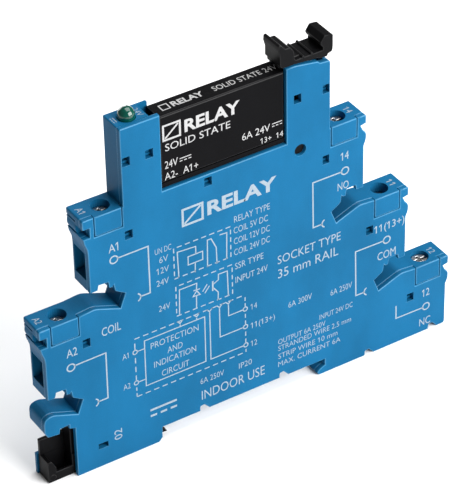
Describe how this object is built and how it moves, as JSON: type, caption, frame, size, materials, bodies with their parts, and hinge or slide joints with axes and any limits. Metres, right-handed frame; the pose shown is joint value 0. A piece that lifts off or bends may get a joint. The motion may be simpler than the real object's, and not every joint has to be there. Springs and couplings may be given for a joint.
{
  "type": "plug-in relay",
  "caption": "Slim plug-in relay seated in a stepped rail-mount socket with screw terminals, rising clamps, ejector lever, sliding rail latch and indicator light.",
  "frame": {"origin": "on the rail seat, on the rail centre line, halfway through the module width", "axes": "+X along the module from the coil terminals to the contact terminals, +Y through its width from cover to back plate, +Z away from the rail"},
  "size_m": [0.0974, 0.0062, 0.0844],
  "materials": {
    "housing_blue": "moulded polyamide, fine grain, satin",
    "relay_black": "moulded thermoset, satin black",
    "lever_black": "moulded polyamide, satin black",
    "zinc_steel": "zinc plated",
    "spring_steel": "drawn wire",
    "terminal_brass": "rolled strip, tin flash",
    "tinned_copper": "tin plated",
    "board_green": "glass-epoxy laminate under solder mask",
    "led_green": "tinted clear epoxy",
    "package_black": "moulded epoxy package",
    "resistor_ceramic": "cement coated",
    "capacitor_orange": "dipped epoxy"
  },
  "bodies": {
    "socket": {"housing_rear_shell": "housing_blue", "housing_front_cover": "housing_blue", "current_bar_A1": "terminal_brass", "current_bar_A2": "terminal_brass", "current_bar_14": "terminal_brass", "current_bar_11": "terminal_brass", "current_bar_12": "terminal_brass", "coil_contact_A1": "terminal_brass", "coil_contact_A2": "terminal_brass", "control_board": "board_green", "dropping_resistor": "resistor_ceramic", "led_resistor": "package_black", "bridge_rectifier": "package_black", "protection_diode": "package_black", "smoothing_capacitor": "capacitor_orange", "led_lens": "led_green", "led_lead_anode": "tinned_copper", "led_lead_cathode": "tinned_copper", "latch_spring": "spring_steel"},
    "screw_A1": {"terminal_screw_A1": "zinc_steel"},
    "screw_A2": {"terminal_screw_A2": "zinc_steel"},
    "screw_14": {"terminal_screw_14": "zinc_steel"},
    "screw_11": {"terminal_screw_11": "zinc_steel"},
    "screw_12": {"terminal_screw_12": "zinc_steel"},
    "clamp_A1": {"clamp_cage_A1": "zinc_steel"},
    "clamp_A2": {"clamp_cage_A2": "zinc_steel"},
    "clamp_14": {"clamp_cage_14": "zinc_steel"},
    "clamp_11": {"clamp_cage_11": "zinc_steel"},
    "clamp_12": {"clamp_cage_12": "zinc_steel"},
    "ejector": {"ejector_lever": "lever_black"},
    "relay": {"relay_case": "relay_black", "relay_base": "relay_black", "relay_pin_A1": "tinned_copper", "relay_pin_A2": "tinned_copper", "relay_pin_13": "tinned_copper", "relay_pin_14": "tinned_copper", "relay_board": "board_green", "relay_optocoupler": "package_black", "relay_output_transistor": "package_black", "relay_suppressor": "package_black", "relay_input_resistor": "resistor_ceramic"},
    "latch": {"rail_latch": "lever_black"}
  },
  "joints": [
    {"name": "clamp_A1_rise", "type": "slide", "parent": "socket", "child": "clamp_A1", "axis": [0, 0, 1], "range_m": [0, 0.0025]},
    {"name": "screw_A1_turn", "type": "hinge", "parent": "socket", "child": "screw_A1", "pos_m": [-0.03155, 0, 0.0577], "axis": [0, 0, -1], "range_deg": [0, 1800]},
    {"name": "clamp_A2_rise", "type": "slide", "parent": "socket", "child": "clamp_A2", "axis": [0, 0, 1], "range_m": [0, 0.0025]},
    {"name": "screw_A2_turn", "type": "hinge", "parent": "socket", "child": "screw_A2", "pos_m": [-0.04225, 0, 0.0359], "axis": [0, 0, -1], "range_deg": [0, 1800]},
    {"name": "clamp_14_rise", "type": "slide", "parent": "socket", "child": "clamp_14", "axis": [0, 0, 1], "range_m": [0, 0.0025]},
    {"name": "screw_14_turn", "type": "hinge", "parent": "socket", "child": "screw_14", "pos_m": [0.02245, 0, 0.0577], "axis": [0, 0, -1], "range_deg": [0, 1800]},
    {"name": "clamp_11_rise", "type": "slide", "parent": "socket", "child": "clamp_11", "axis": [0, 0, 1], "range_m": [0, 0.0025]},
    {"name": "screw_11_turn", "type": "hinge", "parent": "socket", "child": "screw_11", "pos_m": [0.03315, 0, 0.0359], "axis": [0, 0, -1], "range_deg": [0, 1800]},
    {"name": "clamp_12_rise", "type": "slide", "parent": "socket", "child": "clamp_12", "axis": [0, 0, 1], "range_m": [0, 0.0025]},
    {"name": "screw_12_turn", "type": "hinge", "parent": "socket", "child": "screw_12", "pos_m": [0.04385, 0, 0.0141], "axis": [0, 0, -1], "range_deg": [0, 1800]},
    {"name": "ejector_swing", "type": "hinge", "parent": "socket", "child": "ejector", "pos_m": [0.01205, 0, 0.05525], "axis": [0, 1, 0], "range_deg": [0, 12]},
    {"name": "relay_lift", "type": "slide", "parent": "socket", "child": "relay", "axis": [0, 0, 1], "range_m": [0, 0.0022]},
    {"name": "rail_latch_slide", "type": "slide", "parent": "socket", "child": "latch", "axis": [1, 0, 0], "range_m": [0, 0.0042], "deforming": ["latch_spring"]}
  ],
  "couplings": [
    {"joint": "screw_A1_turn", "follows": "clamp_A1_rise", "rad_per_m": 12566},
    {"joint": "screw_A2_turn", "follows": "clamp_A2_rise", "rad_per_m": 12566},
    {"joint": "screw_14_turn", "follows": "clamp_14_rise", "rad_per_m": 12566},
    {"joint": "screw_11_turn", "follows": "clamp_11_rise", "rad_per_m": 12566},
    {"joint": "screw_12_turn", "follows": "clamp_12_rise", "rad_per_m": 12566},
    {"joint": "relay_lift", "follows": "ejector_swing", "m_per_rad": 0.0105}
  ]
}
